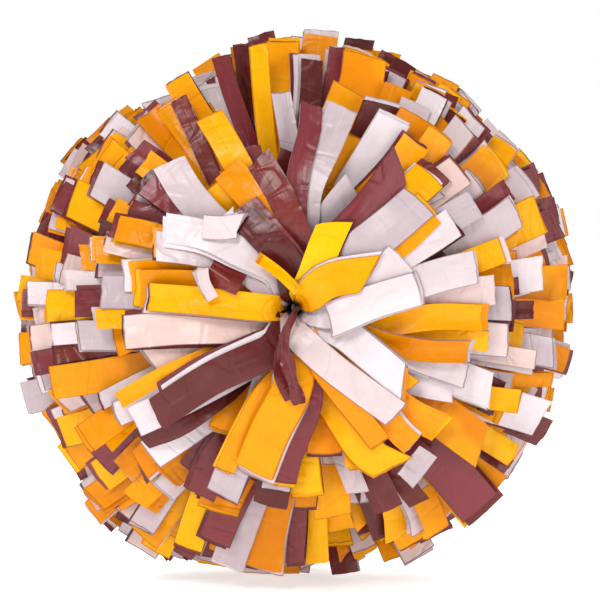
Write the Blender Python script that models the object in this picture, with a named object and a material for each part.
"""Hidden-handle cheer pom pom: three colours of slit plastic film tied on both ends of a short baton.

Frame: metres, +Z up. The baton lies along Y and the origin is the centre of its grip. The front
end is at -Y. Every web is a slit film sheet: an uncut band at the root, which the cable tie holds
against the baton, and separate strands that fan out to the ball's surface. Each end holds a crown
(webs that leave forward and fold over outward) and a skirt (webs that leave sideways). The webs of
one sector are parented to an empty on the line through their roots that they flex about.

Places are given as a radius from the Y axis and a distance along it from the middle of the grip.
An end is -1 in front and 1 at the rear. Azimuths run from +X towards +Z.
"""

import math
from typing import NamedTuple

import bmesh
import bpy
from mathutils import Matrix

# ---- dimensions of the baton (metres) -----------------------------------------------------
CLEARANCE = 0.0003  # gap between neighbouring parts

GRIP_HALF = 0.046  # half the length of the grip tube
GRIP_R = 0.0125
GRIP_BORE = 0.0105  # radius of the bore
GRIP_BEVEL = 0.0006
GRIP_SIDES = 24
RIB_HEIGHT = 0.0011
RIB_PLACES = (-0.0350, -0.0200, 0.0200, 0.0350)
RIB_HALF = 0.0024  # half width of a rib at its foot
RIB_TOP_HALF = RIB_HALF * 0.4

PLUG_DEPTH = 0.012  # how far a plug reaches in from its flange
PLUG_R = GRIP_BORE - CLEARANCE
PLUG_BEVEL = 0.0008
PLUG_SIDES = 24
FLANGE_FROM = GRIP_HALF + CLEARANCE
FLANGE_TO = FLANGE_FROM + 0.0020
STEM_R = 0.0060  # stem that the webs are gathered round
STEM_END = 0.0670
STEM_BEVEL = 0.0005
PILOT_R = 0.0014  # pilot hole for the cap screw
PILOT_DEPTH = 0.0150

CORE_IN = STEM_R + CLEARANCE  # gathered middle bands of the film
CORE_OUT = 0.0170
CORE_MIDDLE = 0.0600
CORE_HALF = 0.0065  # half its length
CORE_PLEATS = 16
PLEAT_DEPTH = 0.0008

TIE_IN = CORE_OUT + CLEARANCE
TIE_OUT = 0.0186
TIE_HALF = 0.0024  # half width of the strap
TIE_HEAD_OUT = 0.0200
TIE_HEAD_HALF = 0.0026
TIE_SIDES = 32
TIE_HEAD_SECTIONS = (3, 4, 5)  # which of the TIE_SIDES sections form the head

CAP_R = 0.0084
CAP_HOLE = 0.0017  # radius of the screw hole
CAP_FROM = STEM_END + CLEARANCE
CAP_TO = CAP_FROM + 0.0025
CAP_BEVEL = 0.0007
CAP_SIDES = 24

SCREW_R = 0.0011
SCREW_LENGTH = 0.0150
SCREW_TIP_R = SCREW_R * 0.6
SCREW_TAPER = 0.0012  # length of the tapered tip
SCREW_HEAD_R = 0.0034
SCREW_HEAD_TOP_R = SCREW_HEAD_R * 0.7
SCREW_HEAD_HEIGHT = 0.0019
SCREW_HEAD_RIM = SCREW_HEAD_HEIGHT * 0.55  # height of the head's straight side
SCREW_SIDES = 16

SHARP_ANGLE = 40.0  # edges of the turned parts that bend more than this stay sharp, degrees

# ---- dimensions of the film (metres, degrees) ---------------------------------------------
STRAND_WIDTH = 0.01905  # 3/4 inch strand
STRAND_GAP = 0.0008  # gap between two strands of a web
FILM_THICKNESS = 0.0008  # stands for a strand's share of stacked film
TIP_PLANE = 0.1480  # strands are trimmed level at this height above and below the axis
BAND = 0.0040  # uncut band left in front of the tie
BENDS = (BAND, 0.045, 0.090)  # lengths along a strand at which it changes direction
CURVE_STEPS = 92  # steps in which a strand's curve is followed
SECTOR = 90.0


class Web(NamedTuple):
    root_radius: float
    root_distance: float
    root_angle: float  # between strand and baton at the root
    bent_angle: float  # the same after the bend
    droop: float  # angle added from there to the tip
    reach: float  # a 152 mm (6 inch) strand less what its gathers and curl take up
    bend_length: float


class Ring(NamedTuple):
    label: str
    sectors: tuple  # names, one per SECTOR
    first_azimuth: float  # centre of the first sector
    strands: int  # in a sector
    hinge: tuple  # radius, distance
    travel: tuple  # free travel about the hinge, inward and outward
    webs: tuple  # three nested webs


CROWN = Ring(
    label="crown",
    sectors=("upper_right", "upper_left", "lower_left", "lower_right"),
    first_azimuth=45.0,
    strands=3,
    hinge=(0.0120, 0.0680),
    travel=(-4.0, 4.0),
    webs=(
        Web(0.0100, 0.0680, 2.0, 94.0, 14.0, 0.144, 0.105),
        Web(0.0122, 0.0680, 9.0, 99.0, 18.0, 0.144, 0.102),
        Web(0.0145, 0.0680, 19.0, 105.0, 22.0, 0.144, 0.098),
    ),
)
SKIRT = Ring(
    label="skirt",
    sectors=("right", "top", "left", "bottom"),
    first_azimuth=0.0,
    strands=6,
    hinge=(0.0155, 0.0480),
    travel=(-3.0, 2.0),
    webs=(
        Web(0.0140, 0.0495, 42.0, 94.0, 18.0, 0.149, 0.090),
        Web(0.0155, 0.0480, 62.0, 98.0, 14.0, 0.142, 0.080),
        Web(0.0170, 0.0465, 84.0, 104.0, 6.0, 0.139, 0.075),
    ),
)

# ---- materials ----------------------------------------------------------------------------
# film colour: base colour, roughness; in the nesting order of a ring's first sector
FILM = {
    "gold": ((0.93, 0.40, 0.012), 0.30),
    "white": ((0.84, 0.80, 0.82), 0.26),
    "maroon": ((0.155, 0.018, 0.030), 0.28),
}
# baton material: base colour, roughness, metallic
BATON = {
    "grip_plastic": ((0.035, 0.035, 0.038), 0.55, 0.0),
    "plug_plastic": ((0.045, 0.045, 0.050), 0.50, 0.0),
    "tie_nylon": ((0.72, 0.70, 0.64), 0.42, 0.0),
    "band_film": ((0.50, 0.16, 0.05), 0.38, 0.0),
    "screw_steel": ((0.55, 0.55, 0.57), 0.32, 1.0),
}


def make_material(name, colour, roughness, metallic=0.0):
    material = bpy.data.materials.new(name)
    material.use_nodes = True
    shader = material.node_tree.nodes["Principled BSDF"]
    shader.inputs["Base Color"].default_value = (*colour, 1.0)
    shader.inputs["Roughness"].default_value = roughness
    shader.inputs["Metallic"].default_value = metallic
    return material


# ---- helpers ------------------------------------------------------------------------------
def add_object(name, bm, material, parent=None, smooth=False):
    """Turn a bmesh into an object, its faces pointing out and its origin at the parent's."""
    bmesh.ops.recalc_face_normals(bm, faces=bm.faces)
    mesh = bpy.data.meshes.new(name)
    bm.to_mesh(mesh)
    bm.free()
    mesh.materials.append(material)
    if smooth:
        mesh.shade_smooth()
        mesh.set_sharp_from_angle(angle=math.radians(SHARP_ANGLE))
    obj = bpy.data.objects.new(name, mesh)
    bpy.context.scene.collection.objects.link(obj)
    if parent is not None:
        obj.parent = parent
        mesh.transform(Matrix.Translation(-parent.location))


def point(radius, distance, azimuth, end, sideways=0.0):
    """Place in the frame, moved sideways across the radius; azimuth in radians."""
    c, s = math.cos(azimuth), math.sin(azimuth)
    return (radius * c - sideways * s, end * distance, radius * s + sideways * c)


def ring_mesh(profiles, end, start=0.0):
    """Closed ring through closed (radius, distance) profiles, evenly spaced round Y."""
    bm = bmesh.new()
    loops = []
    for i, profile in enumerate(profiles):
        azimuth = start + 2.0 * math.pi * i / len(profiles)
        loops.append([bm.verts.new(point(r, d, azimuth, end)) for r, d in profile])
    for a, b in zip(loops, loops[1:] + loops[:1]):
        for k in range(len(a)):
            following = (k + 1) % len(a)
            bm.faces.new((a[k], a[following], b[following], b[k]))
    return bm


def turned_mesh(profile, sides, end):
    """Solid turned from an open (radius, distance) profile whose two ends lie on the axis."""
    bm = bmesh.new()
    first, last = (bm.verts.new(point(*profile[i], 0.0, end)) for i in (0, -1))
    loops = []
    for i in range(sides):
        azimuth = 2.0 * math.pi * i / sides
        loops.append([bm.verts.new(point(r, d, azimuth, end)) for r, d in profile[1:-1]])
    for a, b in zip(loops, loops[1:] + loops[:1]):
        bm.faces.new((first, a[0], b[0]))
        for k in range(len(a) - 1):
            bm.faces.new((a[k], a[k + 1], b[k + 1], b[k]))
        bm.faces.new((a[-1], last, b[-1]))
    return bm


def band_profile(inner, outer, half):
    """Rectangle about the middle of the gathered bands."""
    near, far = CORE_MIDDLE - half, CORE_MIDDLE + half
    return [(inner, near), (outer, near), (outer, far), (inner, far)]


# ---- the baton ----------------------------------------------------------------------------
def grip_tube(material):
    """Hollow tube with finger ribs, turned so that +Z meets the middle of a flat side."""
    profile = [(GRIP_R - GRIP_BEVEL, -GRIP_HALF), (GRIP_R, -GRIP_HALF + GRIP_BEVEL)]
    for place in RIB_PLACES:
        profile += [
            (GRIP_R, place - RIB_HALF),
            (GRIP_R + RIB_HEIGHT, place - RIB_TOP_HALF),
            (GRIP_R + RIB_HEIGHT, place + RIB_TOP_HALF),
            (GRIP_R, place + RIB_HALF),
        ]
    profile += [
        (GRIP_R, GRIP_HALF - GRIP_BEVEL),
        (GRIP_R - GRIP_BEVEL, GRIP_HALF),
        (GRIP_BORE, GRIP_HALF),
        (GRIP_BORE, -GRIP_HALF),
    ]
    bm = ring_mesh([profile] * GRIP_SIDES, end=1, start=math.pi / GRIP_SIDES)
    add_object("grip_tube", bm, material, smooth=True)


def end_plug(label, end, material):
    """Plug with a flange against the tube's end, and a stem with a pilot hole in its end."""
    profile = [
        (0.0, FLANGE_FROM - PLUG_DEPTH),
        (PLUG_R - PLUG_BEVEL, FLANGE_FROM - PLUG_DEPTH),
        (PLUG_R, FLANGE_FROM - PLUG_DEPTH + PLUG_BEVEL),
        (PLUG_R, FLANGE_FROM),
        (GRIP_R, FLANGE_FROM),
        (GRIP_R, FLANGE_TO),
        (STEM_R, FLANGE_TO),
        (STEM_R, STEM_END - STEM_BEVEL),
        (STEM_R - STEM_BEVEL, STEM_END),
        (PILOT_R, STEM_END),
        (PILOT_R, STEM_END - PILOT_DEPTH),
        (0.0, STEM_END - PILOT_DEPTH),
    ]
    bm = turned_mesh(profile, PLUG_SIDES, end)
    add_object(label + "_end_plug", bm, material, smooth=True)


def web_core(label, end, material):
    """The uncut middle bands of all the sheets of one end, gathered round the stem in pleats."""
    crest = band_profile(CORE_IN, CORE_OUT, CORE_HALF)
    valley = band_profile(CORE_IN, CORE_OUT - PLEAT_DEPTH, CORE_HALF)
    add_object(label + "_web_core", ring_mesh([crest, valley] * CORE_PLEATS, end), material)


def cable_tie(label, end, material):
    """Strap round the gathered bands, with its square head at one place."""
    profiles = [band_profile(TIE_IN, TIE_OUT, TIE_HALF)] * TIE_SIDES
    for i in TIE_HEAD_SECTIONS:
        profiles[i] = band_profile(TIE_IN, TIE_HEAD_OUT, TIE_HEAD_HALF)
    add_object(label + "_cable_tie", ring_mesh(profiles, end), material)


def end_cap(label, end, material):
    """Flat cap on the stem's end, wider than the webs' bore."""
    profile = [
        (CAP_HOLE, CAP_FROM),
        (CAP_R, CAP_FROM),
        (CAP_R, CAP_TO - CAP_BEVEL),
        (CAP_R - CAP_BEVEL, CAP_TO),
        (CAP_HOLE, CAP_TO),
    ]
    add_object(label + "_end_cap", ring_mesh([profile] * CAP_SIDES, end), material, smooth=True)


def cap_screw(label, end, material):
    """Pan-head screw through the cap into the stem's pilot hole."""
    seat = CAP_TO + CLEARANCE
    tip = seat - SCREW_LENGTH
    profile = [
        (0.0, tip),
        (SCREW_TIP_R, tip),
        (SCREW_R, tip + SCREW_TAPER),
        (SCREW_R, seat),
        (SCREW_HEAD_R, seat),
        (SCREW_HEAD_R, seat + SCREW_HEAD_RIM),
        (SCREW_HEAD_TOP_R, seat + SCREW_HEAD_HEIGHT),
        (0.0, seat + SCREW_HEAD_HEIGHT),
    ]
    bm = turned_mesh(profile, SCREW_SIDES, end)
    add_object(label + "_cap_screw", bm, material, smooth=True)


# ---- the film webs ------------------------------------------------------------------------
def strand_angle(length, web):
    """Angle in degrees between a strand and the baton at a length from its root."""
    t = min(1.0, length / web.bend_length)
    eased = t * t * (3.0 - 2.0 * t)
    past_bend = max(0.0, length - web.bend_length) / (web.reach - web.bend_length)
    return web.root_angle + (web.bent_angle - web.root_angle) * eased + web.droop * past_bend


def strand_line(web):
    """(radius, distance, angle) of a strand's middle line at its root, its BENDS and its tip."""
    radius, distance = web.root_radius, web.root_distance
    step = web.reach / CURVE_STEPS
    track = [(radius, distance)]
    for i in range(CURVE_STEPS):
        angle = math.radians(strand_angle((i + 0.5) * step, web))
        radius += math.sin(angle) * step
        distance += math.cos(angle) * step
        track.append((radius, distance))
    places = []
    for length in (0.0, *BENDS, web.reach):
        i = min(CURVE_STEPS - 1, int(length / step))
        part = length / step - i
        places.append([p + (q - p) * part for p, q in zip(track[i], track[i + 1])])
    line = []
    for i, (radius, distance) in enumerate(places):
        before = places[max(0, i - 1)]
        after = places[min(len(places) - 1, i + 1)]
        angle = math.atan2(after[0] - before[0], after[1] - before[1])
        line.append((radius, distance, angle))
    return line


def narrowest(radius, distance, ring):
    """The smallest radius a point of the ring reaches while its tuft flexes."""
    out, along = radius - ring.hinge[0], distance - ring.hinge[1]
    arm, angle = math.hypot(out, along), math.atan2(out, along)
    swung = [ring.hinge[0] + arm * math.sin(angle + math.radians(d)) for d in ring.travel]
    return min(radius, *swung)


def half_width(radius, distance, ring):
    """Half the width of a strand: gathered near the root and full where the ring has room. A tuft
    swings towards its own centre line, so it also moves sideways towards its neighbours."""
    half_pitch = math.radians(SECTOR / ring.strands) / 2.0
    swing = radius - narrowest(radius, distance, ring)
    sideways = swing * math.sin(math.radians(SECTOR / 2.0))
    room = (radius * math.sin(half_pitch) - sideways) / math.cos(half_pitch) - STRAND_GAP / 2.0
    return min(STRAND_WIDTH / 2.0, room)


def trim_tips(rows):
    """Cut the tips level above and below, along each strand's last stretch."""
    for k, (before, tip) in enumerate(zip(rows[-2], rows[-1])):
        if abs(tip[2]) > TIP_PLANE:
            part = (math.copysign(TIP_PLANE, tip[2]) - before[2]) / (tip[2] - before[2])
            rows[-1][k] = tuple(p + (q - p) * part for p, q in zip(before, tip))


def film_face(ring, web, centre, end, offset):
    """Points of one face of the film, offset from its middle: [row][strand * 2 + edge]."""
    pitch = SECTOR / ring.strands
    rows = []
    for radius, distance, angle in strand_line(web):
        across = half_width(radius, distance, ring)
        face_radius = radius - math.cos(angle) * offset
        face_distance = distance + math.sin(angle) * offset
        row = []
        for j in range(ring.strands):
            azimuth = math.radians(centre + (j + 0.5) * pitch - SECTOR / 2.0)
            for side in (-across, across):
                row.append(point(face_radius, face_distance, azimuth, end, side))
        rows.append(row)
    trim_tips(rows)
    return rows


def web_sheet(name, ring, web, centre, end, material, hinge):
    bm = bmesh.new()
    top, low = (
        [[bm.verts.new(p) for p in row] for row in film_face(ring, web, centre, end, offset)]
        for offset in (FILM_THICKNESS / 2.0, -FILM_THICKNESS / 2.0)
    )
    last_row = len(top) - 1
    last_edge = 2 * ring.strands - 1
    # the uncut band
    for k in range(last_edge):
        bm.faces.new((top[0][k], top[0][k + 1], top[1][k + 1], top[1][k]))
        bm.faces.new((low[0][k], low[1][k], low[1][k + 1], low[0][k + 1]))
        bm.faces.new((top[0][k], low[0][k], low[0][k + 1], top[0][k + 1]))
        if k % 2:  # the bottom of a slit
            bm.faces.new((top[1][k], top[1][k + 1], low[1][k + 1], low[1][k]))
    for k in (0, last_edge):
        bm.faces.new((top[0][k], top[1][k], low[1][k], low[0][k]))
    # the strands
    for a in range(0, last_edge, 2):
        b = a + 1
        for i in range(1, last_row):
            bm.faces.new((top[i][a], top[i][b], top[i + 1][b], top[i + 1][a]))
            bm.faces.new((low[i][a], low[i + 1][a], low[i + 1][b], low[i][b]))
            bm.faces.new((top[i][a], top[i + 1][a], low[i + 1][a], low[i][a]))
            bm.faces.new((top[i][b], low[i][b], low[i + 1][b], top[i + 1][b]))
        bm.faces.new((top[-1][a], top[-1][b], low[-1][b], low[-1][a]))
    add_object(name, bm, material, hinge)


def tuft_hinge(name, ring, centre, end):
    """Empty on the line that a tuft flexes about."""
    empty = bpy.data.objects.new(name, None)
    empty.location = point(*ring.hinge, math.radians(centre), end)
    bpy.context.scene.collection.objects.link(empty)
    return empty


def tufts(label, end, ring):
    """All the webs of a ring; the nesting order of the colours shifts by one each sector."""
    colours = list(FILM)
    for index, sector in enumerate(ring.sectors):
        centre = ring.first_azimuth + index * SECTOR
        tuft = f"{label}_{ring.label}_{sector}"
        hinge = tuft_hinge(tuft + "_hinge", ring, centre, end)
        for nesting, web in enumerate(ring.webs):
            colour = colours[(index + nesting) % len(colours)]
            name = f"{tuft}_{colour}_web"
            film = make_material(name + "_film", *FILM[colour])
            web_sheet(name, ring, web, centre, end, film, hinge)


# ---- build --------------------------------------------------------------------------------
for old in list(bpy.data.objects):
    bpy.data.objects.remove(old, do_unlink=True)

materials = {name: make_material(name, *look) for name, look in BATON.items()}
grip_tube(materials["grip_plastic"])
for label, end in (("front", -1), ("rear", 1)):
    end_plug(label, end, materials["plug_plastic"])
    web_core(label, end, materials["band_film"])
    cable_tie(label, end, materials["tie_nylon"])
    end_cap(label, end, materials["plug_plastic"])
    cap_screw(label, end, materials["screw_steel"])
    for ring in (CROWN, SKIRT):
        tufts(label, end, ring)
